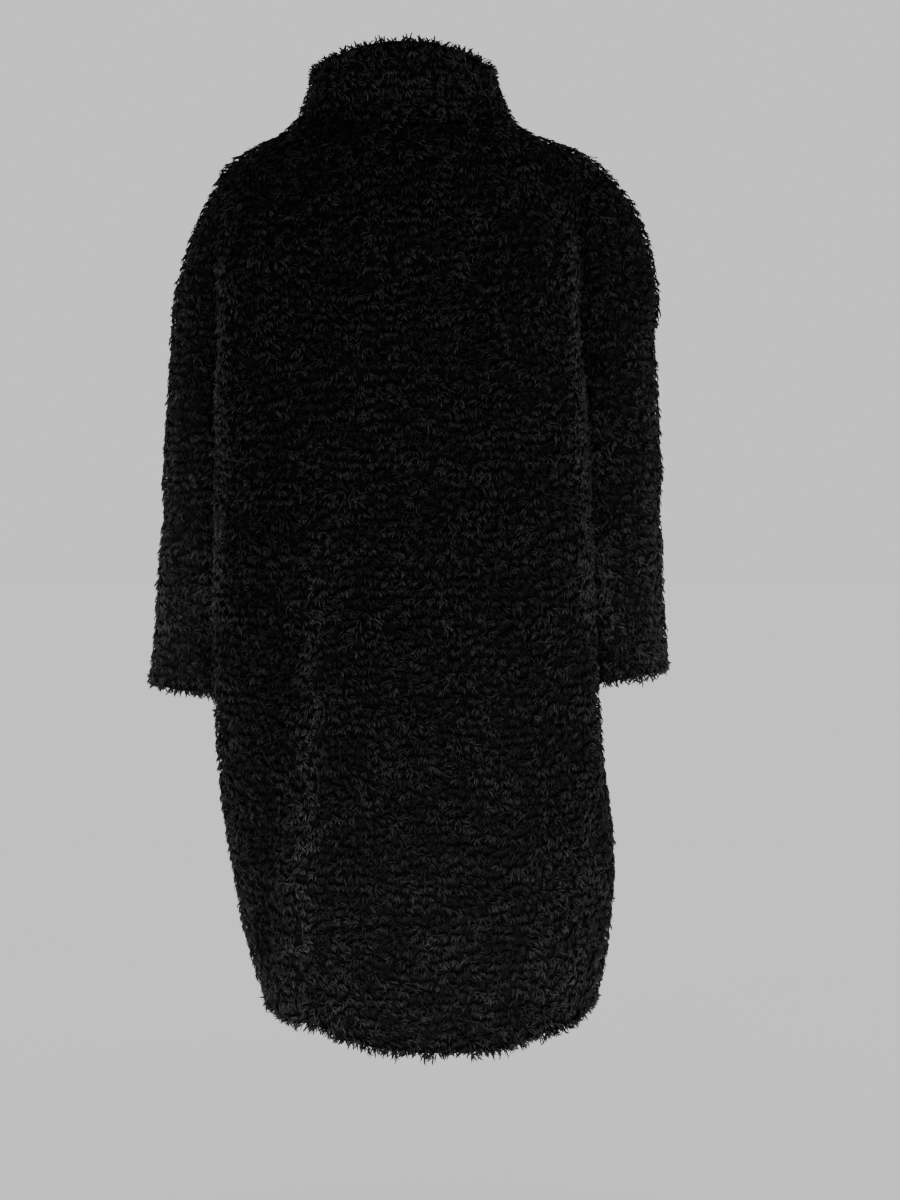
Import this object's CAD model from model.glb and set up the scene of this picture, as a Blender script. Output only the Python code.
"""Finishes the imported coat: on each panel a knitted backing, and on that its black curly pile.

Units are metres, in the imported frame: +Z is up, -Y is the wearer's front, +X is the wearer's left,
and the origin is the middle of the neck. Each packed panel is one wall, from the inside of its
backing to the tips of its curls. Here a thin knitted shell lies near the inside of that wall, and
curled locks stand on the shell and reach the wall's outer face. A lock is modelled once in each of
its shapes, and the locks of a panel are joined into one or two meshes. All random draws are seeded,
so every run makes the same coat.
"""

import logging
import math
from collections.abc import Sequence
from dataclasses import dataclass, field, replace
from enum import Enum
from typing import Any

import bmesh
import bpy
import numpy as np
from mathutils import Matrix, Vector, kdtree, noise
from mathutils.bvhtree import BVHTree


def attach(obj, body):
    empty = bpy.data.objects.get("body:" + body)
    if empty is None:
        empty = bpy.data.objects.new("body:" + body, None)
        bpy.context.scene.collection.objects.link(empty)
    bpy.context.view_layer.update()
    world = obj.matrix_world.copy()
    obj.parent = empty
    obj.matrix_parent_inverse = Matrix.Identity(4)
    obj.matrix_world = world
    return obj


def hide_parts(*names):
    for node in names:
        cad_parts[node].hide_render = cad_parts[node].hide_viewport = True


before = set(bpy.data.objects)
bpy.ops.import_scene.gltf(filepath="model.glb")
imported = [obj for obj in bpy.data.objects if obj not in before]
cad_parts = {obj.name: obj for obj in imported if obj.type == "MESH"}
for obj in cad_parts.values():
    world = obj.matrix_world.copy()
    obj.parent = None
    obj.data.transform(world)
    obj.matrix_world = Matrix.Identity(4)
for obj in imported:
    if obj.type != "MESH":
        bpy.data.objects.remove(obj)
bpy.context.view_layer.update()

LOG = logging.getLogger("coat")

MM = 0.001
BODY = "root"
FIBRES = "fibres"  # the UV map of the pile: round each lock, and along it
TONE = "tone"  # the attribute that tells the locks apart in tone

Array = np.ndarray
Pair = tuple[float, float]
Socket = bpy.types.NodeSocket


def linear(colour: str) -> tuple[float, float, float, float]:
    """Turns an sRGB hex colour to the linear RGBA that shaders take.

    Args:
        colour: The colour, such as "#1a1b1c".

    Returns:
        Red, green, blue and alpha.
    """
    parts = [int(colour[k : k + 2], 16) / 255 for k in (1, 3, 5)]
    red, green, blue = (p / 12.92 if p <= 0.04045 else ((p + 0.055) / 1.055) ** 2.4 for p in parts)
    return red, green, blue, 1.0


def ease(value: Array) -> Array:
    """Goes from 0 to 1 with no corner at either end.

    Args:
        value: Numbers that count as 0 below 0 and as 1 above 1.

    Returns:
        The eased numbers.
    """
    share = np.clip(value, 0.0, 1.0)
    return share * share * (3 - 2 * share)


def unit(vectors: Array) -> Array:
    """Gives vectors the length 1."""
    return vectors / np.maximum(np.linalg.norm(vectors, axis=-1, keepdims=True), 1e-12)


def square_to(vectors: Array, axes: Array) -> Array:
    """Turns each vector square to its axis, with the length 1."""
    return unit(vectors - axes * (vectors * axes).sum(1, keepdims=True))


def soft_noise(places: Array, size: float | tuple[float, float, float]) -> Array:
    """Gives smooth noise at each place, in patches of this size."""
    return np.array([noise.noise(Vector(place)) for place in places / size])


def search_tree(points: Sequence[Any]) -> kdtree.KDTree:
    """Makes a tree that finds which of the points lie near a place.

    Args:
        points: The points.

    Returns:
        The tree, which counts the points in their order.
    """
    tree = kdtree.KDTree(len(points))
    for number, point in enumerate(points):
        tree.insert(point, number)
    tree.balance()
    return tree


def select_only(thing: bpy.types.Object) -> None:
    """Selects one object alone and makes it the active one.

    Args:
        thing: The object.
    """
    bpy.ops.object.select_all(action="DESELECT")
    thing.select_set(True)
    bpy.context.view_layer.objects.active = thing


def apply_modifier(thing: bpy.types.Object, kind: str, **settings: Any) -> None:
    """Puts a modifier on an object and applies it.

    Args:
        thing: The mesh object.
        kind: The modifier's type, such as "SUBSURF".
        settings: The modifier's own settings, by name.
    """
    select_only(thing)
    modifier = thing.modifiers.new(kind.lower(), kind)
    for name, value in settings.items():
        setattr(modifier, name, value)
    bpy.ops.object.modifier_apply(modifier=modifier.name)


def add_object(name: str, data: bpy.types.ID) -> bpy.types.Object:
    """Puts a new object in the scene.

    Args:
        name: Its name.
        data: Its mesh, lamp or camera.

    Returns:
        The object.
    """
    thing = bpy.data.objects.new(name, data)
    bpy.context.scene.collection.objects.link(thing)
    return thing


def mesh_object(name: str, points: Array, faces: Sequence[Sequence[int]]) -> bpy.types.Object:
    """Makes a mesh object in the scene from points and faces.

    Args:
        name: The object's name.
        points: One row of x, y, z for each point.
        faces: The point numbers of each face.

    Returns:
        The new object, smooth shaded.
    """
    mesh = bpy.data.meshes.new(name)
    mesh.from_pydata(np.asarray(points).tolist(), [], [tuple(map(int, face)) for face in faces])
    mesh.shade_smooth()
    return add_object(name, mesh)


def read_points(mesh: bpy.types.Mesh, what: str = "co") -> Array:
    """Reads a mesh's points, or another vector of each point.

    Args:
        mesh: The mesh.
        what: The name of the vector, such as "normal".

    Returns:
        One row of x, y, z for each point.
    """
    values = np.empty(len(mesh.vertices) * 3)
    mesh.vertices.foreach_get(what, values)
    return values.reshape(-1, 3)


# ---- materials -----------------------------------------------------------------------------------


class ShaderTree:
    """A new material's node tree, with the nodes that the coat's materials are made of."""

    def __init__(self, name: str) -> None:
        """Makes an empty node material.

        Args:
            name: Its name.
        """
        self.material = bpy.data.materials.new(name)
        self.material.use_nodes = True
        self.tree = self.material.node_tree
        self.tree.nodes.clear()

    def add(
        self, kind: str, inputs: dict[str | int, Any] | None = None, **settings: Any
    ) -> bpy.types.Node:
        """Adds a shader node with its settings and links.

        Args:
            kind: The node's type, such as "TexNoise".
            inputs: For each input, a value, or the output of another node that is linked to it.
            settings: The node's own settings, by name.

        Returns:
            The new node.
        """
        node = self.tree.nodes.new(f"ShaderNode{kind}")
        for name, value in settings.items():
            setattr(node, name, value)
        for name, value in (inputs or {}).items():
            if isinstance(value, Socket):
                self.tree.links.new(value, node.inputs[name])
            else:
                node.inputs[name].default_value = value
        return node

    def place(self) -> Socket:
        """Gives the place on the object, in metres."""
        return self.add("TexCoord").outputs["Object"]

    def noise(self, place: Socket, scale: float, detail: float) -> Socket:
        """Gives soft noise at a place."""
        inputs = {"Vector": place, "Scale": scale, "Detail": detail}
        return self.add("TexNoise", inputs).outputs["Fac"]

    def multiply(self, first: Socket, second: Socket | float) -> Socket:
        """Multiplies two numbers."""
        return self.add("Math", {0: first, 1: second}, operation="MULTIPLY").outputs["Value"]

    def fit(self, value: Socket, span: Pair, to: Pair = (0.0, 1.0), curve: str = "LINEAR") -> Socket:
        """Turns one span of numbers into another.

        Args:
            value: The number.
            span: The least and the greatest number that count.
            to: What those two turn into.
            curve: The way between them.

        Returns:
            The new number.
        """
        inputs = {"Value": value, "From Min": span[0], "From Max": span[1]}
        inputs |= {"To Min": to[0], "To Max": to[1]}
        return self.add("MapRange", inputs, interpolation_type=curve).outputs["Result"]

    def mix(
        self, share: Socket | float, first: Socket | str, second: Socket | str, blend: str = "MIX"
    ) -> Socket:
        """Mixes two colours.

        Args:
            share: How much of the second one shows, from 0 to 1.
            first: A hex colour or a node's output.
            second: Another one.
            blend: How the two are put together.

        Returns:
            The mixed colour.
        """
        first, second = (linear(c) if isinstance(c, str) else c for c in (first, second))
        inputs = {0: share, 6: first, 7: second}
        return self.add("Mix", inputs, data_type="RGBA", blend_type=blend).outputs[2]

    def bump(self, height: Socket, strength: float, distance: float) -> Socket:
        """Gives the directions of a surface with small heights on it."""
        inputs = {"Height": height, "Strength": strength, "Distance": distance}
        return self.add("Bump", inputs).outputs["Normal"]

    def finish(self, inputs: dict[str, Any]) -> bpy.types.Material:
        """Adds the shader, with its inputs, and the output, and gives the material."""
        shader = self.add("BsdfPrincipled", inputs)
        self.add("OutputMaterial", {"Surface": shader.outputs["BSDF"]})
        return self.material


@dataclass(frozen=True)
class AcrylicPile:
    """Acrylic curly pile: long staple knitted in, then tumbled so that it curls into locks.

    Each lock is a bundle of fine dull fibres. The eye sees a deep black at the roots, a little more
    light towards the tips, fine lines along each lock, and a low soft sheen where it turns over.
    """

    name: str = "acrylic_curly_pile"
    root: str = "#020202"
    tip: str = "#171717"
    pale_tip: str = "#313132"
    tip_span: Pair = (0.25, 0.85)  # where along a lock the root's colour turns to the tip's
    roughness: float = 0.50
    specular: float = 0.02
    sheen: float = 0.01
    sheen_roughness: float = 0.45
    fibre_lines: float = 7.0  # lines round a lock: real fibres are far finer, so these show as groups
    fibre_waves: float = 2.2  # and how often a line changes along it
    fibre_others: float = 60.0  # and how fast with the tone, so that neighbours have other lines
    fibre_depth: float = 0.4 * MM
    fibre_bump: float = 0.9
    line_span: Pair = (0.35, 0.65)  # the noise from the darkest line to the lightest
    line_shades: Pair = (0.68, 1.26)  # and how light these are

    def material(self) -> bpy.types.Material:
        """Builds the material.

        Returns:
            The material of all locks.
        """
        tree = ShaderTree(self.name)
        tone = tree.add("Attribute", attribute_name=TONE).outputs["Fac"]
        uv = tree.add("UVMap", uv_map=FIBRES).outputs["UV"]
        around, along, _ = tree.add("SeparateXYZ", {0: uv}).outputs
        other = tree.multiply(tone, self.fibre_others)
        own = tree.add("CombineXYZ", {"X": around, "Y": along, "Z": other}).outputs[0]
        stretch = (self.fibre_lines, self.fibre_waves, 1.0)
        lines_at = tree.add("Mapping", {"Vector": own, "Scale": stretch}).outputs["Vector"]
        lines = tree.noise(lines_at, 1.0, 1.0)
        shade = tree.fit(lines, self.line_span, self.line_shades)
        tip = tree.mix(tone, self.tip, self.pale_tip)
        colour = tree.mix(tree.fit(along, self.tip_span, curve="SMOOTHSTEP"), self.root, tip)
        return tree.finish({
            "Base Color": tree.mix(1.0, colour, shade, "MULTIPLY"),
            "Roughness": self.roughness,
            "Specular IOR Level": self.specular,
            "Sheen Weight": self.sheen,
            "Sheen Roughness": self.sheen_roughness,
            "Normal": tree.bump(lines, self.fibre_bump, self.fibre_depth),
        })


@dataclass(frozen=True)
class PileGround:
    """The short pile between the locks' roots: matt, almost without light, of fine hanging fibres."""

    name: str = "acrylic_pile_ground"
    deep: str = "#000000"
    high: str = "#0e0e0f"
    span: Pair = (0.38, 0.66)  # the noise from the deepest fibre to the highest
    fibre: float = 1.3 * MM  # across a group of fibres
    hang: float = 5.0 * MM  # and down it
    slant: float = 25.0  # degrees that they hang aside
    depth: float = 1.0 * MM
    roughness: float = 0.8
    specular: float = 0.03

    def material(self) -> bpy.types.Material:
        """Builds the material.

        Returns:
            The material of the backing's pile side.
        """
        tree = ShaderTree(self.name)
        size = (self.fibre, self.fibre, self.hang)
        turn = (0.0, math.radians(self.slant), 0.0)
        inputs = {"Vector": tree.place(), "Rotation": turn, "Scale": size}
        hung = tree.add("Mapping", inputs, vector_type="TEXTURE").outputs["Vector"]
        height = tree.fit(tree.noise(hung, 1.0, 2.0), self.span)
        return tree.finish({
            "Base Color": tree.mix(height, self.deep, self.high),
            "Roughness": self.roughness,
            "Specular IOR Level": self.specular,
            "Normal": tree.bump(height, 1.0, self.depth),
        })


@dataclass(frozen=True)
class KnitBacking:
    """Polyester knit backing, as it comes off the pile machine: black, matt, in fine rows of loops."""

    name: str = "polyester_knit_backing"
    valley: str = "#040405"
    loop: str = "#121213"
    course: float = 2.4 * MM  # one row of loops: 1.2 mm on the real one, too fine to show
    depth: float = 0.4 * MM
    uneven: float = 1.5
    roughness: float = 0.85
    specular: float = 0.12
    sheen: float = 0.02

    def material(self) -> bpy.types.Material:
        """Builds the material.

        Returns:
            The material of the backing's inside and cut edges.
        """
        tree = ShaderTree(self.name)
        wave = {
            "Vector": tree.place(),
            "Scale": 1 / self.course / 20,  # a band texture's scale counts 20 bands to the unit
            "Distortion": self.uneven,
            "Detail": 1.0,
            "Detail Scale": 4.0,
        }
        courses, wales = (
            tree.add("TexWave", wave, bands_direction=way).outputs["Fac"] for way in ("Z", "DIAGONAL")
        )
        loops = tree.multiply(courses, wales)
        return tree.finish({
            "Base Color": tree.mix(loops, self.valley, self.loop),
            "Roughness": self.roughness,
            "Specular IOR Level": self.specular,
            "Sheen Weight": self.sheen,
            "Normal": tree.bump(loops, 0.8, self.depth),
        })


@dataclass(frozen=True)
class PaintedFloor:
    """A studio floor in matt pale emulsion, rolled on, so its tone is all but even."""

    name: str = "matt_pale_emulsion"
    low: str = "#ececec"
    high: str = "#f1f1f1"
    patch: float = 0.9  # metres across a patch of roller marks
    roughness: float = 0.9
    specular: float = 0.1

    def material(self) -> bpy.types.Material:
        """Builds the material.

        Returns:
            The floor's material.
        """
        tree = ShaderTree(self.name)
        marks = tree.noise(tree.place(), 1 / self.patch, 2.0)
        return tree.finish({
            "Base Color": tree.mix(marks, self.low, self.high),
            "Roughness": self.roughness,
            "Specular IOR Level": self.specular,
        })


# ---- the cloth of one panel ----------------------------------------------------------------------


class Facing(Enum):
    """The side of the coat on which a crease shows, as the direction that this side faces."""

    BACK = (0.0, 1.0, 0.0)
    FRONT = (0.0, -1.0, 0.0)
    LEFT = (1.0, 0.0, 0.0)
    RIGHT = (-1.0, 0.0, 0.0)
    TOP = (0.0, 0.0, 1.0)


BACK, FRONT, LEFT, RIGHT, TOP = Facing
FULLY_FACING = 0.6  # the cosine from which a crease shows fully on cloth turned aside


@dataclass(frozen=True)
class Crease:
    """A soft ridge or trough of the hanging cloth.

    Its places are (across, height): across is x on the back and front, and y on the left and right.
    On the top they are (x, y). half is how far it reaches to either side. rise is its height over the
    cloth beside it, below 0 for a trough, and bow is how far its middle lies to one side of the
    straight line between its ends. paler is how much lighter its pile shows, as it opens on a ridge,
    and is below 0 where the pile closes in a trough.
    """

    facing: Facing
    start: Pair
    end: Pair
    half: float
    rise: float
    bow: float = 0.0
    paler: float = 0.0
    fade: float = 0.28  # share of its length over which each end fades out

    def share(self, points: Array, normals: Array) -> Array:
        """Works out how far the crease shapes the cloth at each place.

        Args:
            points: Points of the cloth.
            normals: The outward directions there.

        Returns:
            A share for each point, from 0 beside the crease to 1 on its middle line.
        """
        direction = np.array(self.facing.value)
        across, height = (1 if direction[0] else 0), (1 if direction[2] else 2)
        places = points[:, [across, height]] - self.start
        run = np.subtract(self.end, self.start)
        length = np.linalg.norm(run)
        run = run / length
        along = places @ run / length
        aside = places @ np.array([-run[1], run[0]]) - 4 * self.bow * along * (1 - along)
        ends = ease(along / self.fade) * ease((1 - along) / self.fade)
        shown = ease(normals @ direction / FULLY_FACING)
        return np.exp(-((aside / self.half) ** 2)) * ends * shown


@dataclass(frozen=True)
class Creases:
    """All the creases of one panel."""

    parts: tuple[Crease, ...] = ()

    def lift(self, points: Array, normals: Array) -> Array:
        """Says how far the creases move the cloth outwards at each place."""
        return self.sum_of(points, normals, "rise")

    def paler(self, points: Array, normals: Array) -> Array:
        """Says how much lighter the pile shows at each place."""
        return self.sum_of(points, normals, "paler")

    def sum_of(self, points: Array, normals: Array, size: str) -> Array:
        """Adds up what all creases do at each place.

        Args:
            points: Points of the cloth.
            normals: The outward directions there.
            size: The name of the crease's size that is added up.

        Returns:
            The sum for each point.
        """
        total = np.zeros(len(points))
        for part in self.parts:
            total += getattr(part, size) * part.share(points, normals)
        return total

    def put_on(self, points: Array, normals: Array) -> tuple[Array, Array]:
        """Moves places of the smooth cloth onto the creases.

        Args:
            points: Places on the smooth cloth.
            normals: The outward directions there.

        Returns:
            The places on the creased cloth, and the outward directions there.
        """
        across = unit(np.cross(normals, (0.0, 0.0, 1.0)))
        tilted = normals.copy()
        for way in (across, np.cross(normals, across)):
            step = way * 2 * MM
            rise = self.lift(points + step, normals) - self.lift(points - step, normals)
            tilted -= way * (rise / (4 * MM))[:, None]
        return points + normals * self.lift(points, normals)[:, None], unit(tilted)


class FreeEdge(Enum):
    """An edge that is sewn to nothing: where it lies in x and z, and the way its pile hangs past it."""

    HEM = ((-0.5, 0.5), (-1.30, -0.98), (0.0, 0.0, -1.0))
    CUFF = ((-0.5, 0.5), (-0.75, -0.60), (0.0, 0.0, -1.0))
    COLLAR_TOP = ((-0.5, 0.5), (0.02, 0.20), (0.0, 0.0, 1.0))
    LAP = ((-0.005, 0.06), (-1.30, 0.20), (0.86, 0.0, -0.51))


class WallReader:
    """Takes a packed panel's wall apart into its outer and its inner face."""

    thickness: float = 12 * MM
    tolerance: float = 0.02 * MM
    merge: float = 0.01 * MM

    def read(self, node: bpy.types.Object) -> tuple[Array, Array, list[tuple[int, ...]]]:
        """Finds the outer face and, for each of its points, the one across the wall.

        Args:
            node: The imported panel.

        Returns:
            The outer points, the inner points, and the outer face's triangles.
        """
        wall = bmesh.new()
        wall.from_mesh(node.data)
        bmesh.ops.remove_doubles(wall, verts=wall.verts, dist=self.merge)
        across = {
            face
            for edge in wall.edges
            if abs(edge.calc_length() - self.thickness) < self.tolerance
            for face in edge.link_faces
        }
        outside, inside = self.two_sheets(wall, across)
        numbers = {vert: k for k, vert in enumerate({v: None for face in outside for v in face.verts})}
        outside += [
            face for face in wall.faces if face in across and all(v in numbers for v in face.verts)
        ]
        within = list({v: None for face in inside for v in face.verts})
        tree = search_tree([vert.co for vert in within])
        pull = {vert: Vector() for vert in numbers}
        for face in outside:
            for vert in face.verts:
                pull[vert] += face.normal * face.calc_area()
        outer, inner = [], []
        for vert in numbers:
            aim = vert.co - pull[vert].normalized() * self.thickness
            near = [
                within[k]
                for _, k, distance in tree.find_range(vert.co, self.thickness + self.tolerance)
                if distance > self.thickness - self.tolerance
            ]
            partner = min(near, key=lambda other: (other.co - aim).length)
            outer.append(vert.co[:])
            inner.append(partner.co[:])
        faces = [tuple(numbers[v] for v in face.verts) for face in outside]
        wall.free()
        return np.array(outer), np.array(inner), faces

    @staticmethod
    def two_sheets(wall: bmesh.types.BMesh, across: set) -> tuple[list, list]:
        """Parts the wall's faces into its two sheets.

        Args:
            wall: The panel's wall.
            across: Faces that may cross the wall, which the sheets stop at.

        Returns:
            The faces of the outer sheet, which is the larger one, and those of the inner sheet.
        """
        seen, groups = set(across), []
        for first in wall.faces:
            if first in seen:
                continue
            seen.add(first)
            group, waiting = [], [first]
            while waiting:
                face = waiting.pop()
                group.append(face)
                for edge in face.edges:
                    for other in edge.link_faces:
                        if other not in seen:
                            seen.add(other)
                            waiting.append(other)
            groups.append(group)
        groups.sort(key=lambda faces: -sum(face.calc_area() for face in faces))
        return groups[0], groups[1]


@dataclass
class ClothLayers:
    """The surfaces inside one panel's wall: one set of quads, and a point on each face of the wall."""

    outer: Array
    inner: Array
    quads: Array
    normals: Array

    def at(self, depth: float) -> Array:
        """Gives the points of the layer at a depth, from 0 at the outer face to 1 at the inner."""
        return self.outer + (self.inner - self.outer) * depth


def smooth_layers(node: bpy.types.Object) -> ClothLayers:
    """Reads a packed panel and rounds its two faces in the same way.

    Args:
        node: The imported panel.

    Returns:
        The panel's layers, with their faces half the size of the wall's.
    """
    outer, inner, triangles = WallReader().read(node)
    face = mesh_object("outer_face", outer, triangles)
    select_only(face)
    bpy.ops.object.mode_set(mode="EDIT")
    bpy.ops.mesh.select_all(action="SELECT")
    bpy.ops.mesh.tris_convert_to_quads(face_threshold=math.pi, shape_threshold=math.pi)
    bpy.ops.object.mode_set(mode="OBJECT")
    copy = add_object("inner_face", face.data.copy())
    copy.data.vertices.foreach_set("co", inner.ravel())
    rounding = {"levels": 1, "render_levels": 1, "boundary_smooth": "PRESERVE_CORNERS"}
    for thing in (face, copy):
        apply_modifier(thing, "SUBSURF", **rounding)
    quads = np.array([polygon.vertices[:] for polygon in face.data.polygons])
    layers = ClothLayers(
        read_points(face.data), read_points(copy.data), quads, read_points(face.data, "normal")
    )
    for thing in (face, copy):
        bpy.data.objects.remove(thing)
    return layers


# ---- the locks of the pile -----------------------------------------------------------------------


@dataclass
class LockMesh:
    """One lock's mesh, ready to be copied: its points, triangles, and the corners' UV places."""

    points: Array
    triangles: Array
    places: Array


@dataclass(frozen=True)
class Lock:
    """One shape of lock: it leaves the backing straight, leans over towards +Y and curls aside.

    over and aside are the degrees through which its length turns. Each of its rings of three points
    is a share of the way along it and a share of its full width.
    """

    length: float
    width: float
    over: float
    aside: float
    rings: tuple[Pair, ...] = ((0.36, 1.0), (0.70, 0.85))
    sunk: float = 1.0 * MM  # how far the root stands in the backing

    def model(self) -> LockMesh:
        """Models the lock: a cone's fan base is drawn down to a root, and the length cut and bent.

        Returns:
            Its mesh.
        """
        low, girth = self.rings[0]
        rise = (1 - low) * self.length
        bpy.ops.object.select_all(action="DESELECT")
        bpy.ops.mesh.primitive_cone_add(
            vertices=3,
            radius1=self.width * girth / 2,
            radius2=0.0,
            depth=rise,
            end_fill_type="TRIFAN",
            location=(0, 0, self.length - rise / 2),
        )
        lock = bpy.context.object
        bpy.ops.object.transform_apply(location=True, rotation=True, scale=True)
        bpy.ops.object.mode_set(mode="EDIT")
        bpy.ops.mesh.select_all(action="DESELECT")
        bpy.ops.object.mode_set(mode="OBJECT")
        for point in lock.data.vertices:
            point.select = point.co.xy.length < 0.01 * self.width and point.co.z < 0.9 * self.length
        bpy.ops.object.mode_set(mode="EDIT")
        bpy.ops.transform.translate(value=(0, 0, -low * self.length))
        for share, girth in self.rings[1:]:
            middle = (0.0, 0.0, share * self.length)
            tapered = (1 - share) / (1 - low) * self.rings[0][1]
            bpy.ops.mesh.select_all(action="SELECT")
            bpy.ops.mesh.bisect(plane_co=middle, plane_no=(0, 0, 1))
            bpy.ops.transform.resize(
                value=(girth / tapered, girth / tapered, 1), center_override=middle
            )
        bpy.ops.mesh.select_all(action="SELECT")
        bpy.ops.mesh.quads_convert_to_tris()
        bpy.ops.object.mode_set(mode="OBJECT")
        straight = read_points(lock.data)
        for axis, angle in (("X", self.over), ("Y", self.aside)):
            apply_modifier(
                lock, "SIMPLE_DEFORM", deform_method="BEND", deform_axis=axis, angle=math.radians(angle)
            )
        triangles = np.array([polygon.vertices[:] for polygon in lock.data.polygons])
        points = read_points(lock.data) - (0, 0, self.sunk)
        bpy.data.objects.remove(lock)
        return LockMesh(points, triangles, self.unwrap(straight, triangles))

    def unwrap(self, straight: Array, triangles: Array) -> Array:
        """Gives each corner of each triangle its place round the lock and along it.

        Args:
            straight: The lock's points before it was bent.
            triangles: Its triangles.

        Returns:
            Two numbers from 0 to 1 for each corner.
        """
        turn = np.arctan2(straight[:, 1], straight[:, 0]) / (2 * math.pi) + 0.5
        corners = triangles.ravel()
        around = turn[corners].reshape(-1, 3)
        around[(np.ptp(around, axis=1) > 0.5)[:, None] & (around < 0.5)] += 1.0
        return np.stack([around.ravel(), straight[corners, 2] / self.length], 1)


@dataclass(frozen=True)
class LockSet:
    """The shapes of lock that the pile is made of. Each has a twin that curls to the other side."""

    curls: tuple[Lock, ...] = (
        Lock(16.5 * MM, 1.9 * MM, 105, 45),
        Lock(15.5 * MM, 2.0 * MM, 125, 60),
        Lock(17.0 * MM, 1.8 * MM, 90, 70),
        Lock(14.5 * MM, 1.9 * MM, 75, 30),
    )
    fine: tuple[Lock, ...] = (
        Lock(13.5 * MM, 1.4 * MM, 85, 35, ((0.50, 1.0),)),
        Lock(12.5 * MM, 1.5 * MM, 60, 50, ((0.46, 1.0),)),
        Lock(11.0 * MM, 1.5 * MM, 95, 20, ((0.50, 1.0),)),
    )
    wisps: tuple[Lock, ...] = (
        Lock(13.0 * MM, 2.3 * MM, 65, 45, ((0.30, 1.0), (0.66, 0.95))),
        Lock(14.5 * MM, 2.1 * MM, 40, 75, ((0.30, 1.0), (0.66, 0.90))),
        Lock(12.0 * MM, 2.4 * MM, 85, 30, ((0.30, 1.0), (0.66, 1.00))),
    )

    def model(self) -> list[LockMesh]:
        """Models every shape, each followed by its twin.

        Returns:
            The meshes, in the order of curls, fine locks and wisps.
        """
        meshes = []
        for lock in self.curls + self.fine + self.wisps:
            meshes += [lock.model(), replace(lock, aside=-lock.aside).model()]
        return meshes

    def choose(
        self, kind: tuple[Lock, ...], left: Array, random: np.random.Generator
    ) -> Array:
        """Chooses a shape of one kind for each lock.

        Args:
            kind: The set's curls, fine locks or wisps.
            left: Whether each lock curls to the side of the twins.
            random: The panel's random numbers.

        Returns:
            Their numbers among the modelled meshes.
        """
        first = (self.curls + self.fine + self.wisps).index(kind[0])
        return 2 * (first + random.integers(0, len(kind), len(left))) + left


@dataclass
class Stand:
    """Where locks stand: their roots, the directions they grow and lean in, sizes, shapes and tones."""

    roots: Array
    grow: Array
    lean: Array
    size: Array
    shape: Array
    tone: Array

    def where(self, keep: Array) -> "Stand":
        """Keeps some of the locks."""
        return Stand(*(getattr(self, name)[keep] for name in self.__dataclass_fields__))

    @staticmethod
    def together(stands: Sequence["Stand"]) -> "Stand":
        """Puts several stands of locks into one."""
        names = Stand.__dataclass_fields__
        return Stand(*(np.concatenate([getattr(stand, name) for stand in stands]) for name in names))


def join_locks(name: str, stand: Stand, meshes: Sequence[LockMesh]) -> bpy.types.Object:
    """Copies a lock to each place and joins all of them into one mesh.

    Args:
        name: The new object's name.
        stand: Where the locks stand.
        meshes: The shapes that stand.shape counts.

    Returns:
        The joined pile, with its UV map and its tones.
    """
    side = unit(np.cross(stand.lean, stand.grow))
    turned = np.stack([side, stand.lean, stand.grow], 1) * stand.size[:, None, None]
    points, triangles, places, tones, count = [], [], [], [], 0
    for number, lock in enumerate(meshes):
        chosen = np.flatnonzero(stand.shape == number)
        if not len(chosen):
            continue
        placed = np.einsum("vk,nkx->nvx", lock.points, turned[chosen]) + stand.roots[chosen, None]
        starts = count + np.arange(len(chosen)) * len(lock.points)
        points.append(placed.reshape(-1, 3))
        triangles.append((lock.triangles[None] + starts[:, None, None]).reshape(-1, 3))
        places.append(np.tile(lock.places, (len(chosen), 1)))
        tones.append(np.repeat(stand.tone[chosen], len(lock.points)))
        count += len(chosen) * len(lock.points)
    mesh = bpy.data.meshes.new(name)
    corners = np.concatenate(triangles)
    mesh.vertices.add(count)
    mesh.vertices.foreach_set("co", np.concatenate(points).ravel())
    mesh.loops.add(corners.size)
    mesh.loops.foreach_set("vertex_index", corners.ravel())
    mesh.polygons.add(len(corners))
    mesh.polygons.foreach_set("loop_start", np.arange(0, corners.size, 3))
    mesh.update(calc_edges=True)
    mesh.shade_smooth()
    mesh.uv_layers.new(name=FIBRES).uv.foreach_set("vector", np.concatenate(places).ravel())
    mesh.attributes.new(TONE, "FLOAT", "POINT").data.foreach_set("value", np.concatenate(tones))
    mesh.validate()
    return add_object(name, mesh)


@dataclass(frozen=True)
class ArmGap:
    """The gap between arm and body, where the cloth is out of sight and needs fewer tufts."""

    way: float = 1.0  # 1 for the body's cloth, which faces it outwards, and -1 for a sleeve's
    top: float = -0.24
    foot: float = -0.62
    end: float = 0.05  # over which it ends upwards and downwards
    middle: float = -0.025  # in y
    half: float = 0.062  # how far it reaches in y to either side
    edge: float = 0.02  # over which it ends there
    facing: float = 0.9  # how far sideways the cloth turns before it counts, as a cosine
    turning: float = 0.08  # and over which it comes to count fully

    def hides(self, places: Array, outward: Array) -> Array:
        """Says how far the cloth is hidden in the gap.

        Args:
            places: Places on the cloth.
            outward: The outward directions there.

        Returns:
            A share for each place, from 0 to 1.
        """
        across, deep, height = places.T
        sideways = self.way * np.sign(across) * outward[:, 0]
        heights = ease((self.top - height) / self.end) * ease((height - self.foot) / self.end)
        inside = ease((self.half - np.abs(deep - self.middle)) / self.edge)
        return ease((sideways - self.facing) / self.turning) * heights * inside


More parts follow.
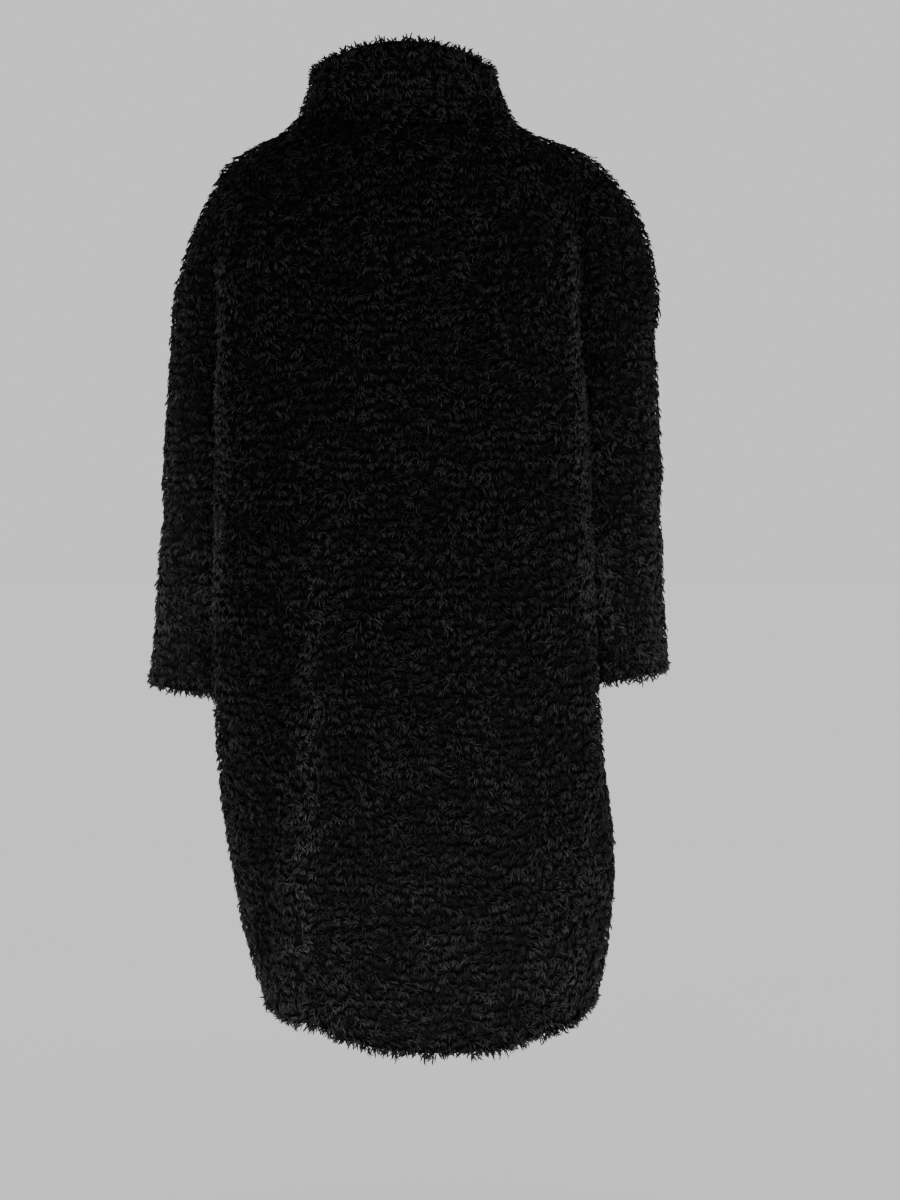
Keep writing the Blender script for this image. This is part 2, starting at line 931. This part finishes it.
@dataclass
class Pile:
    """How the pile stands on the cloth: in tufts of a few locks, in loose rows down the cloth."""

    tries_for_tuft: int = 10
    tuft_apart: float = 7.2 * MM  # where the cloth lies level, as on the shoulders
    apart_in_row: float = 5.85 * MM
    apart_down: float = 9.0 * MM
    row_apart: float = 11.0 * MM
    row_wander: float = 0.45  # how far a row strays, as a share of the distance between rows
    row_wave: int = 4  # and over how many rows' distance
    row_pull: float = 0.95  # 0 scatters the tufts evenly, 1 keeps them all in their rows
    curls_in_tuft: int = 1
    fine_in_tuft: int = 6
    tuft_across: float = 3.4 * MM  # half of a tuft's width, and of its height
    tuft_down: float = 2.2 * MM
    gather: float = 0.45  # how much the locks of a tuft lean together
    lead: float = 0.8  # and how much they lean the way in which the tuft falls
    swirl_size: float = 50 * MM  # across a patch of tufts that fall alike
    swirl: float = 30.0  # degrees that such patches fall to either side of straight down
    tuft_turn: float = 22.0  # and the spread of the tufts, and of the locks in one, in degrees
    lock_turn: float = 26.0
    least_tilt: float = 4.0
    most_tilt: float = 34.0
    least_strength: float = 0.7  # of the locks' tilt, as each draws its own
    side_by_patch: float = 1.2  # how much a patch's locks curl to the same side
    sizes: Pair = (0.75, 1.22)  # the least and the greatest
    tone: float = 0.20  # the middle of the tufts' tones, where 1 is as pale as the sharpest ridge
    most_tone: float = 0.60
    tone_patch: Pair = (26 * MM, 11 * MM)  # a patch of tufts of like tone
    tone_spread: float = 1.2
    tuft_tone_spread: float = 0.10
    lock_tone_spread: float = 0.05
    tuft_size_spread: float = 0.12
    size_spread: float = 0.08
    hidden_apart: float = 2.2  # how many times as far apart tufts stand where arm and body face
    crest_apart: float = 0.72  # and on a pale ridge, where they keep to no rows
    crest_from: float = 0.25  # which is one that is more than this much paler
    crest_ease: float = 0.3
    least_wanted: float = 0.05
    cover_start: float = 6 * MM  # cloth that has other cloth over it, between this high
    cover_end: float = 14 * MM  # and this high, is bare

    def tufts(
        self,
        points: Array,
        normals: Array,
        quads: Array,
        creases: Creases,
        gap: ArmGap,
        covers: BVHTree,
        random: np.random.Generator,
    ) -> tuple[Array, Array]:
        """Chooses the places of the tufts on one panel.

        Args:
            points: The points of the backing's outer face, before it is creased.
            normals: The outward directions there.
            quads: Its faces.
            creases: The panel's creases.
            gap: The gap in which cloth is hidden.
            covers: All backings, which other cloth may lie under.
            random: The panel's random numbers.

        Returns:
            The tufts' places and the outward directions there.
        """
        triangles = np.concatenate([quads[:, [0, 1, 2]], quads[:, [0, 2, 3]]])
        corners = points[triangles]
        edges = corners[:, 1:] - corners[:, :1]
        areas = np.linalg.norm(np.cross(edges[:, 0], edges[:, 1]), axis=1) / 2
        tries = int(areas.sum() / (self.apart_in_row * self.apart_down) * self.tries_for_tuft)
        picked = random.choice(len(triangles), tries, p=areas / areas.sum())
        shares = random.random((tries, 2))
        over = shares.sum(1) > 1
        shares[over] = 1 - shares[over]
        weights = np.concatenate([1 - shares.sum(1, keepdims=True), shares], 1)[:, :, None]
        places = (corners[picked] * weights).sum(1)
        outward = unit((normals[triangles][picked] * weights).sum(1))
        places, outward = creases.put_on(places, outward)

        steep = 1 - outward[:, 2] ** 2
        squash = np.ones((tries, 3))
        squash[:, 2] = self.apart_in_row / self.apart_down
        stray = soft_noise(places, self.row_wave * self.row_apart)
        phase = places[:, 2] / self.row_apart + self.row_wander * stray
        in_row = 0.5 + 0.5 * np.cos(2 * math.pi * phase)
        crest = ease((creases.paler(places, outward) - self.crest_from) / self.crest_ease)
        wanted = 1 - self.row_pull * steep * (1 - in_row) * (1 - crest)
        apart = self.tuft_apart + (self.apart_in_row - self.tuft_apart) * steep
        apart = apart * (1 + (self.hidden_apart - 1) * gap.hides(places, outward))
        apart = apart * (1 + (self.crest_apart - 1) * crest)
        order = np.argsort(random.random(tries) / np.maximum(wanted, self.least_wanted))
        squashed = places * squash
        tree = search_tree(squashed)
        free = np.ones(tries, bool)
        cover_gap = self.cover_end - self.cover_start
        chosen = []
        for k in order:
            if not free[k]:
                continue
            for _, other, _ in tree.find_range(squashed[k], apart[k]):
                free[other] = False
            above = Vector(places[k] + outward[k] * self.cover_start)
            if covers.ray_cast(above, Vector(outward[k]), cover_gap)[0] is None:
                chosen.append(k)
        return places[chosen], outward[chosen]

    def stand(
        self,
        places: Array,
        outward: Array,
        paler: Array,
        locks: LockSet,
        random: np.random.Generator,
    ) -> Stand:
        """Stands the locks of each tuft round its place.

        Args:
            places: The tufts' places.
            outward: The outward directions there.
            paler: How much lighter each tuft shows for the crease that it stands on.
            locks: The shapes of lock.
            random: The panel's random numbers.

        Returns:
            The locks.
        """
        tufts, several = len(places), self.curls_in_tuft + self.fine_in_tuft
        patch = soft_noise(places, self.swirl_size)
        turn = 2 * self.swirl * patch + random.normal(0, self.tuft_turn, tufts)
        left = random.random(tufts) < 0.5 + self.side_by_patch * patch
        size = random.normal(1.0, self.tuft_size_spread, tufts)
        wide, tall = self.tone_patch
        patch = soft_noise(places, (wide, wide, tall))
        tone = self.tone + self.tone_spread * patch + random.normal(0, self.tuft_tone_spread, tufts)
        tone = np.clip(tone, 0, self.most_tone) + paler
        places, outward, turn, left, size, tone = (
            np.repeat(values, several, 0) for values in (places, outward, turn, left, size, tone)
        )
        count = len(places)
        down = unit(np.array([0.0, 0.0, -1.0]) + outward * outward[:, 2:3])
        aside = np.cross(outward, down)
        spread = np.sqrt(random.random((count, 1)))
        around = random.uniform(0, 2 * math.pi, (count, 1))
        lower, wider = down * np.cos(around) * spread, aside * np.sin(around) * spread
        turn = np.radians(turn + random.normal(0, self.lock_turn, count))[:, None]
        heading = down * np.cos(turn) + aside * np.sin(turn)
        pull = heading * self.lead - (lower + wider) * self.gather
        strength = np.linalg.norm(pull, axis=1, keepdims=True)
        share = np.clip(strength, 0, 1) * random.uniform(self.least_strength, 1.0, (count, 1))
        tilt = np.radians(self.least_tilt + (self.most_tilt - self.least_tilt) * share)
        grow = outward * np.cos(tilt) + unit(pull) * np.sin(tilt)
        lean = square_to(heading, grow)
        number = np.tile(np.arange(several), tufts)
        shape = locks.choose(locks.curls, left, random)
        fine = locks.choose(locks.fine, left, random)
        return Stand(
            roots=places + lower * self.tuft_down + wider * self.tuft_across,
            grow=grow,
            lean=lean,
            size=np.clip(size * random.normal(1.0, self.size_spread, count), *self.sizes),
            shape=np.where(number < self.curls_in_tuft, shape, fine),
            tone=np.clip(tone + random.normal(0, self.lock_tone_spread, count), 0, 1),
        )


@dataclass
class EdgePile:
    """The wisps that hang past a free edge, as the pile there has nothing beyond to lie on."""

    apart: float = 0.65 * MM
    across: float = 7.0 * MM  # how far up the cloth their roots are spread
    least_out: float = -0.25
    most_out: float = 0.70
    turn: float = 36.0
    bent_back: float = 0.4  # the share of the wisps that bend towards the cloth's inside
    size: Pair = (0.85, 0.12)  # the middle and the spread
    sizes: Pair = (0.5, 1.15)  # the least and the greatest
    tone: Pair = (0.2, 0.12)

    def stand(
        self,
        run: Array,
        normals: Array,
        way: Array,
        locks: LockSet,
        random: np.random.Generator,
    ) -> Stand:
        """Stands wisps along an edge.

        Args:
            run: The places along the edge, as pairs of neighbours.
            normals: The outward directions of the cloth there.
            way: The way past the edge.
            locks: The shapes of lock.
            random: The panel's random numbers.

        Returns:
            The wisps.
        """
        lengths = np.linalg.norm(run[:, 1] - run[:, 0], axis=1)
        count = int(lengths.sum() / self.apart)
        picked = random.choice(len(run), count, p=lengths / lengths.sum())
        share = random.random((count, 1))
        places = run[picked, 0] + (run[picked, 1] - run[picked, 0]) * share
        outward = unit(normals[picked, 0] + (normals[picked, 1] - normals[picked, 0]) * share)
        past = unit(way - outward * (outward @ way)[:, None])
        aside = np.cross(outward, past)
        places = places - past * random.uniform(0, self.across, (count, 1))
        turn = np.radians(random.normal(0, self.turn, count))[:, None]
        heading = past * np.cos(turn) + aside * np.sin(turn)
        grow = unit(heading + outward * random.uniform(self.least_out, self.most_out, (count, 1)))
        back = random.random((count, 1)) < self.bent_back
        lean = square_to(np.where(back, -outward, outward), grow)
        return Stand(
            roots=places,
            grow=grow,
            lean=lean,
            size=np.clip(random.normal(*self.size, count), *self.sizes),
            shape=locks.choose(locks.wisps, random.random(count) < 0.5, random),
            tone=np.clip(random.normal(*self.tone, count), 0, 1),
        )


# ---- the panels ----------------------------------------------------------------------------------


@dataclass
class Panel:
    """One cut piece of the coat: its backing, and the pile that stands on it.

    flat is the width and length of its cut, laid flat, and area the cut's flat area.
    """

    node: str
    flat: Pair
    area: float
    seed: int
    creases: Creases = Creases()
    free: tuple[FreeEdge, ...] = ()
    gap: ArmGap = ArmGap()
    sewn_to: tuple[str, ...] = ()
    pile_parts: int = 1
    backing_depth: float = 0.52  # of the wall's thickness, from its outer face
    backing_wall: float = 3.0 * MM
    edge_short: float = 5.0 * MM  # the backing ends this far inside the pile at a free edge
    edge_ease: float = 30 * MM
    most_aslope: float = 0.8  # a rim that runs more than this the way its pile hangs is no free edge
    raised: tuple[tuple[float, float, float], ...] = ()  # of free edges: middle x, half width, rise
    pile: Pile = field(default_factory=Pile)
    edge_pile: EdgePile = field(default_factory=EdgePile)
    layers: ClothLayers | None = None

    def lay(self) -> None:
        """Reads the panel's packed wall and draws its backing in at the free edges."""
        self.layers = smooth_layers(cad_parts[self.node])
        for edge in self.free:
            tree = search_tree(self.layers.outer[np.unique(self.rim_runs(edge))])
            away = np.array([tree.find(point)[2] for point in self.layers.outer])
            short = np.full(len(away), self.edge_short)
            for middle, half, rise in self.raised:
                short += rise * np.exp(-(((self.layers.outer[:, 0] - middle) / half) ** 2))
            share = 1 - ease(away / self.edge_ease)
            draw = (short * share)[:, None] * np.array(edge.value[2])
            self.layers.outer -= draw
            self.layers.inner -= draw

    def rim_runs(self, edge: FreeEdge) -> Array:
        """Finds the rim at one of the free edges.

        Args:
            edge: The free edge.

        Returns:
            Pairs of neighbouring point numbers.
        """
        wide, tall, way = edge.value
        quads = self.layers.quads
        runs = np.concatenate([quads[:, [k, (k + 1) % 4]] for k in range(4)])
        _, first, times = np.unique(np.sort(runs, 1), axis=0, return_index=True, return_counts=True)
        rim = runs[first[times == 1]]
        places = self.layers.outer[rim][:, :, [0, 2]]
        within = ((places > (wide[0], tall[0])) & (places < (wide[1], tall[1]))).all((1, 2))
        along = unit(np.diff(self.layers.outer[rim], axis=1)[:, 0])
        return rim[within & (np.abs(along @ way) < self.most_aslope)]

    def creased(self) -> Array:
        """Gives the points of the backing's outer face, creased."""
        return self.creases.put_on(self.layers.at(self.backing_depth), self.layers.normals)[0]

    def backing(self, ground: bpy.types.Material, knit: bpy.types.Material) -> bpy.types.Object:
        """Makes the knitted backing as a thin shell on the form of the wall.

        Args:
            ground: The material of its pile side.
            knit: The material of its inside.

        Returns:
            The shell.
        """
        shell = mesh_object(f"backing_{self.node}", self.creased(), self.layers.quads)
        shell.data.materials.append(ground)
        shell.data.materials.append(knit)
        apply_modifier(
            shell,
            "SOLIDIFY",
            thickness=self.backing_wall,
            offset=-1.0,
            use_even_offset=True,
            thickness_clamp=0.5,
            material_offset=1,
            material_offset_rim=1,
        )
        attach(shell, BODY)
        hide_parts(self.node)
        return shell

    def stand_locks(self, covers: BVHTree, locks: LockSet) -> Stand:
        """Stands all of the panel's locks.

        Args:
            covers: All backings.
            locks: The shapes of lock.

        Returns:
            The locks.
        """
        random = np.random.default_rng(self.seed)
        points = self.layers.at(self.backing_depth)
        places, outward = self.pile.tufts(
            points, self.layers.normals, self.layers.quads, self.creases, self.gap, covers, random
        )
        paler = self.creases.paler(places, outward)
        stands = [self.pile.stand(places, outward, paler, locks, random)]
        for edge in self.free:
            runs = self.rim_runs(edge)
            way = np.array(edge.value[2])
            normals = self.layers.normals[runs]
            stands.append(self.edge_pile.stand(points[runs], normals, way, locks, random))
        return Stand.together(stands)

    def pile_pieces(
        self,
        covers: BVHTree,
        locks: LockSet,
        meshes: Sequence[LockMesh],
        material: bpy.types.Material,
    ) -> list[bpy.types.Object]:
        """Makes the panel's pile, in one piece or, on a large panel, in one above the other.

        Args:
            covers: All backings.
            locks: The shapes of lock.
            meshes: Their meshes.
            material: The pile's material.

        Returns:
            The joined locks.
        """
        stand = self.stand_locks(covers, locks)
        levels = np.quantile(stand.roots[:, 2], np.linspace(0, 1, self.pile_parts + 1)[1:-1])
        part = np.searchsorted(levels, stand.roots[:, 2])
        names = ("",) if self.pile_parts == 1 else ("_lower", "_upper")
        pieces = []
        for number, ending in enumerate(names):
            piece = join_locks(f"pile_{self.node}{ending}", stand.where(part == number), meshes)
            piece.data.materials.append(material)
            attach(piece, BODY)
            pieces.append(piece)
        return pieces


LEFT_SHOULDER = Crease(TOP, (0.117, 0.09), (0.117, -0.09), 0.015, 0.007)
RIGHT_SHOULDER = Crease(TOP, (-0.108, 0.09), (-0.108, -0.09), 0.020, 0.009)
RIGHT_HIP = Crease(RIGHT, (0.000, -0.76), (0.000, -1.04), 0.070, 0.003)
LEFT_HEM = ((0.110, 0.026, 0.011), (0.165, 0.020, -0.005))
RIGHT_HEM = ((-0.110, 0.030, -0.004),)


def back_panel() -> Panel:
    """Describes the back, cut on the fold, from side seam to side seam.

    Returns:
        The panel.
    """
    return Panel(
        "back",
        flat=(0.64, 1.16),
        area=0.61,
        seed=11,
        free=(FreeEdge.HEM,),
        pile_parts=2,
        raised=LEFT_HEM + RIGHT_HEM,
        creases=Creases((
            Crease(BACK, (0.132, -0.47), (0.158, -1.12), 0.016, -0.008, 0.006, -0.25),
            Crease(BACK, (0.101, -0.42), (0.113, -0.92), 0.009, 0.007, -0.002, 0.50, 0.3),
            Crease(BACK, (0.112, -0.77), (0.118, -1.14), 0.013, 0.006, -0.001, 0.42, 0.3),
            Crease(BACK, (0.088, -0.52), (0.094, -1.12), 0.014, -0.005, -0.004),
            Crease(BACK, (0.076, -0.90), (0.074, -1.12), 0.009, 0.006, 0.0, 0.36),
            Crease(BACK, (0.060, -0.86), (0.056, -1.10), 0.013, -0.004),
            Crease(BACK, (-0.082, -0.46), (-0.086, -0.84), 0.010, 0.005, 0.003, 0.20),
            Crease(BACK, (-0.108, -0.50), (-0.110, -0.86), 0.016, -0.004, 0.003, -0.06),
            Crease(BACK, (0.150, -0.150), (0.065, -0.156), 0.010, 0.004, 0.0, 0.32),
            Crease(BACK, (0.201, -0.070), (0.214, -0.640), 0.008, 0.005, 0.0, 0.70, 0.2),
            Crease(LEFT, (0.045, -0.22), (0.050, -0.60), 0.030, 0.0, 0.0, 0.40, 0.1),
            Crease(RIGHT, (0.045, -0.22), (0.050, -0.60), 0.030, 0.0, 0.0, 0.50, 0.1),
            Crease(BACK, (-0.184, -0.060), (-0.210, -0.640), 0.008, 0.004, 0.0, 0.65, 0.2),
            Crease(BACK, (-0.205, -0.800), (-0.160, -1.090), 0.028, 0.0, 0.006, 0.30),
            Crease(BACK, (0.210, -1.030), (-0.210, -1.050), 0.090, 0.0, 0.0, 0.04, 0.1),
            Crease(BACK, (-0.060, -0.72), (-0.052, -1.08), 0.022, -0.004, -0.004),
            Crease(BACK, (-0.150, -0.80), (-0.168, -1.08), 0.016, -0.004, 0.003),
            Crease(BACK, (0.185, -0.22), (0.120, -0.47), 0.020, -0.004, 0.010),
            Crease(BACK, (-0.178, -0.25), (-0.125, -0.42), 0.018, -0.003, -0.008),
            Crease(BACK, (0.005, 0.000), (0.006, -0.120), 0.008, -0.002),
            Crease(BACK, (-0.090, -0.33), (0.050, -0.36), 0.024, 0.003, -0.006),
            RIGHT_SHOULDER,
            LEFT_SHOULDER,
            RIGHT_HIP,
        )),
    )


def front_panels() -> list[Panel]:
    """Describes the two fronts. The right one laps over the left one.

    Returns:
        The left and the right panel.
    """
    left = Panel(
        "front_left",
        flat=(0.345, 1.17),
        area=0.327,
        seed=23,
        free=(FreeEdge.HEM,),
        sewn_to=("back",),
        raised=LEFT_HEM,
        creases=Creases((
            Crease(FRONT, (0.150, -0.60), (0.163, -1.10), 0.017, -0.004, -0.004),
            Crease(FRONT, (0.078, -0.52), (0.086, -1.08), 0.019, -0.004, 0.005),
            Crease(FRONT, (0.172, -0.22), (0.115, -0.40), 0.018, -0.004, -0.008),
            Crease(FRONT, (0.120, -0.88), (0.128, -1.10), 0.011, 0.004),
            LEFT_SHOULDER,
        )),
    )
    right = Panel(
        "front_right",
        flat=(0.350, 1.19),
        area=0.329,
        seed=37,
        free=(FreeEdge.HEM, FreeEdge.LAP),
        sewn_to=("back", "front_left"),
        pile_parts=2,
        raised=RIGHT_HEM,
        creases=Creases((
            Crease(FRONT, (-0.146, -0.56), (-0.166, -1.10), 0.018, -0.005, 0.005),
            Crease(FRONT, (-0.074, -0.62), (-0.085, -1.10), 0.018, -0.004, -0.003),
            Crease(FRONT, (-0.168, -0.24), (-0.120, -0.45), 0.019, -0.004, 0.009),
            Crease(FRONT, (-0.020, -0.80), (-0.014, -1.08), 0.014, 0.003),
            RIGHT_SHOULDER,
            RIGHT_HIP,
        )),
    )
    return [left, right]


def sleeve_panels() -> list[Panel]:
    """Describes the two sleeves, each one piece with its seam under the arm.

    Returns:
        The left and the right panel.
    """
    left = Panel(
        "sleeve_left",
        flat=(0.46, 0.62),
        area=0.186,
        seed=41,
        free=(FreeEdge.CUFF,),
        gap=ArmGap(-1.0, top=-0.27, foot=-1.0),
        sewn_to=("back", "front_left"),
        creases=Creases((
            Crease(BACK, (0.170, -0.540), (0.350, -0.530), 0.090, 0.0, 0.0, 0.09, 0.1),
            Crease(BACK, (0.222, -0.350), (0.285, -0.385), 0.012, -0.004, 0.004),
            Crease(BACK, (0.228, -0.425), (0.292, -0.440), 0.013, -0.003, -0.004),
            Crease(LEFT, (-0.100, -0.370), (0.020, -0.410), 0.014, -0.004, 0.006),
            Crease(LEFT, (-0.090, -0.470), (0.010, -0.455), 0.012, -0.003, -0.005),
            Crease(FRONT, (0.226, -0.400), (0.285, -0.375), 0.013, -0.005, 0.003),
            Crease(FRONT, (0.230, -0.455), (0.290, -0.440), 0.011, -0.003, 0.003),
            Crease(LEFT, (-0.040, -0.060), (0.010, -0.260), 0.040, 0.005, 0.006),
            Crease(RIGHT, (0.010, -0.20), (0.010, -0.62), 0.050, 0.0, 0.0, 0.45, 0.1),
            Crease(LEFT, (0.010, -0.25), (0.010, -0.70), 0.040, 0.0, 0.0, 0.24, 0.3),
        )),
    )
    right = Panel(
        "sleeve_right",
        flat=(0.47, 0.61),
        area=0.203,
        seed=53,
        free=(FreeEdge.CUFF,),
        gap=ArmGap(-1.0, top=-0.27, foot=-1.0),
        sewn_to=("back", "front_right"),
        creases=Creases((
            Crease(BACK, (-0.170, -0.530), (-0.350, -0.530), 0.090, 0.0, 0.0, 0.11, 0.1),
            Crease(BACK, (-0.218, -0.365), (-0.295, -0.350), 0.013, -0.004, -0.004),
            Crease(BACK, (-0.222, -0.450), (-0.300, -0.425), 0.012, -0.003, 0.004),
            Crease(RIGHT, (-0.100, -0.395), (0.020, -0.370), 0.013, -0.004, -0.006),
            Crease(RIGHT, (-0.095, -0.450), (0.005, -0.480), 0.013, -0.003, 0.005),
            Crease(FRONT, (-0.222, -0.385), (-0.298, -0.405), 0.012, -0.005, 0.004),
            Crease(FRONT, (-0.226, -0.465), (-0.300, -0.460), 0.012, -0.003, -0.003),
            Crease(RIGHT, (-0.035, -0.040), (0.010, -0.260), 0.050, 0.008, -0.006),
            Crease(RIGHT, (-0.020, -0.250), (-0.020, -0.460), 0.050, 0.005),
            Crease(LEFT, (0.010, -0.20), (0.010, -0.62), 0.050, 0.0, 0.0, 0.60, 0.1),
            Crease(RIGHT, (0.010, -0.25), (0.010, -0.70), 0.040, 0.0, 0.0, 0.24, 0.3),
        )),
    )
    return [left, right]


def collar_panel() -> Panel:
    """Describes the collar band, which laps over itself at the front as the fronts do.

    Returns:
        The panel.
    """
    return Panel(
        "collar",
        flat=(0.725, 0.105),
        area=0.058,
        seed=67,
        free=(FreeEdge.COLLAR_TOP, FreeEdge.LAP),
        sewn_to=("back", "front_left", "front_right"),
        creases=Creases((
            Crease(BACK, (-0.070, 0.030), (0.075, 0.022), 0.012, -0.002, -0.003),
            Crease(BACK, (-0.140, 0.050), (0.140, 0.050), 0.060, 0.0, 0.0, 0.26, 0.1),
            Crease(FRONT, (-0.060, 0.010), (0.070, 0.016), 0.012, -0.002, 0.003),
            Crease(RIGHT, (-0.080, 0.012), (0.080, 0.012), 0.024, 0.006),
            Crease(LEFT, (-0.080, 0.012), (0.080, 0.012), 0.020, 0.003),
        )),
    )


@dataclass
class Coat:
    """The whole coat: its panels, in the order in which they are made."""

    panels: list[Panel] = field(
        default_factory=lambda: [back_panel(), *front_panels(), *sleeve_panels(), collar_panel()]
    )
    locks: LockSet = LockSet()

    def build(self) -> list[bpy.types.Object]:
        """Makes every backing and, on those, all of the pile.

        Returns:
            All of the coat's pieces.
        """
        made = []
        pile_finish = AcrylicPile().material()
        ground, knit = PileGround().material(), KnitBacking().material()
        meshes = self.locks.model()
        for panel in self.panels:
            panel.lay()
        shells = [panel.backing(ground, knit) for panel in self.panels]
        covers = self.all_backings()
        for panel, shell in zip(self.panels, shells):
            pieces = panel.pile_pieces(covers, self.locks, meshes, pile_finish)
            for piece in (shell, *pieces):
                LOG.info("%s: %d faces", piece.name, len(piece.data.polygons))
            made += [shell, *pieces]
        return made

    def all_backings(self) -> BVHTree:
        """Gathers the outer faces of all backings, to find where one lies over another.

        Returns:
            One search tree of them all.
        """
        points, faces, count = [], [], 0
        for panel in self.panels:
            layer = panel.creased()
            points += layer.tolist()
            faces += (panel.layers.quads + count).tolist()
            count += len(layer)
        return BVHTree.FromPolygons(points, faces)


# ---- the studio ----------------------------------------------------------------------------------


@dataclass(frozen=True)
class SoftLight:
    """A large soft lamp: its place, what it points at, its width and height, and its power."""

    name: str
    place: tuple[float, float, float]
    aim: tuple[float, float, float]
    size: Pair
    power: float
    lit: str = ""  # it is flagged so that it lights only the pieces with this in their names
    spread: float = 180.0  # degrees: a grid in front of the lamp makes its beam narrower


@dataclass
class Studio:
    """The floor, the light and the camera round the coat."""

    photo_width: int = 900
    photo_height: int = 1200
    pixel: float = 1.18 * MM  # one pixel of the photograph, at the middle of the coat
    middle_pixel: tuple[int, int] = (404, 127)  # where the coat's origin lies in the photograph
    distance: float = 2.60
    height: float = -0.46
    floor_level: float = -1.48
    floor_size: float = 60.0
    surround: str = "#f0f0f0"
    overhead: float = 0.5  # the strength of the even light from above
    overhead_width: float = 60.0  # and how wide it looks, in degrees
    lights: tuple[SoftLight, ...] = (
        SoftLight("back_low_lamp", (0.15, 1.00, -1.44), (0.0, 0.10, -0.85), (1.6, 0.35), 40.0),
        SoftLight("front_low_lamp", (0.0, -1.00, -1.40), (0.0, -0.10, -0.85), (1.6, 0.35), 34.0),
        SoftLight("back_right_lamp", (-2.20, 1.05, -1.25), (0.0, 0.0, -0.80), (0.3, 0.6), 60.0),
        SoftLight("front_left_lamp", (1.90, -1.20, -0.60), (0.0, 0.0, -0.60), (0.4, 0.8), 18.0),
        SoftLight("front_right_lamp", (-1.90, -1.20, -0.60), (0.0, 0.0, -0.60), (0.4, 0.8), 12.0),
        SoftLight("hem_lamp", (0.0, 1.80, -1.30), (0.0, 0.10, -1.14), (1.2, 0.2), 1.8, spread=40.0),
        SoftLight(
            "left_sleeve_lamp", (0.0, 2.0, -0.9), (0.25, 0.0, -0.7), (0.3, 0.3), 2.9, "sleeve_left", 40.0
        ),
        SoftLight(
            "right_sleeve_lamp", (0.0, 2.0, -0.9), (-0.25, 0.0, -0.7), (0.3, 0.3), 1.4, "sleeve_right", 30.0
        ),
    )

    def lay_floor(self) -> None:
        """Lays the pale floor."""
        bpy.ops.object.select_all(action="DESELECT")
        bpy.ops.mesh.primitive_plane_add(size=self.floor_size, location=(0, 0, self.floor_level))
        floor = bpy.context.object
        bpy.ops.object.transform_apply(location=True, rotation=True, scale=True)
        floor.name = "floor"
        floor.data.materials.append(PaintedFloor().material())

    def light(self) -> None:
        """Lights the room evenly, so that floor and distance are one tone."""
        world = bpy.data.worlds.new("studio")
        world.use_nodes = True
        backdrop = world.node_tree.nodes["Background"]
        backdrop.inputs["Color"].default_value = linear(self.surround)
        backdrop.inputs["Strength"].default_value = 1.0
        bpy.context.scene.world = world
        overhead = bpy.data.lights.new("overhead", "SUN")
        overhead.energy = self.overhead
        overhead.angle = math.radians(self.overhead_width)
        add_object("overhead", overhead)

    def light_coat(self, pieces: Sequence[bpy.types.Object]) -> None:
        """Sets up the lamps that bring out the curls. They light the coat alone, not the floor.

        Args:
            pieces: The coat's pieces.
        """
        for lamp in self.lights:
            lit = bpy.data.collections.new(f"lit_by_{lamp.name}")
            for piece in pieces:
                if lamp.lit in piece.name:
                    lit.objects.link(piece)
            data = bpy.data.lights.new(lamp.name, "AREA")
            data.shape = "RECTANGLE"
            data.size, data.size_y = lamp.size
            data.energy = lamp.power
            data.spread = math.radians(lamp.spread)
            item = add_object(lamp.name, data)
            item.location = lamp.place
            aim = Vector(lamp.aim) - Vector(lamp.place)
            item.rotation_euler = aim.to_track_quat("-Z", "Y").to_euler()
            item.visible_camera = False
            item.light_linking.receiver_collection = lit

    def place_camera(self) -> None:
        """Places the camera straight behind the coat, with the photograph's frame."""
        camera = bpy.data.cameras.new("camera")
        camera.sensor_fit = "VERTICAL"
        tall = self.photo_height * self.pixel
        camera.angle_y = 2 * math.atan(tall / 2 / self.distance)
        across, down = self.middle_pixel
        camera.shift_x = (self.photo_width / 2 - across) / self.photo_height
        centre = (down - self.photo_height / 2) * self.pixel
        camera.shift_y = (centre - self.height) / tall
        camera.dof.use_dof = False
        item = add_object("camera", camera)
        item.location = (0.0, self.distance, self.height)
        item.rotation_euler = (math.pi / 2, 0.0, math.pi)
        bpy.context.scene.camera = item

    def build(self) -> None:
        """Sets up the whole studio."""
        self.place_camera()
        self.lay_floor()
        self.light()


def main() -> None:
    """Builds the studio and the coat, and reports each piece."""
    logging.basicConfig(level=logging.INFO, format="%(message)s")
    studio = Studio()
    studio.build()
    studio.light_coat(Coat().build())


if __name__ == "__main__":
    main()
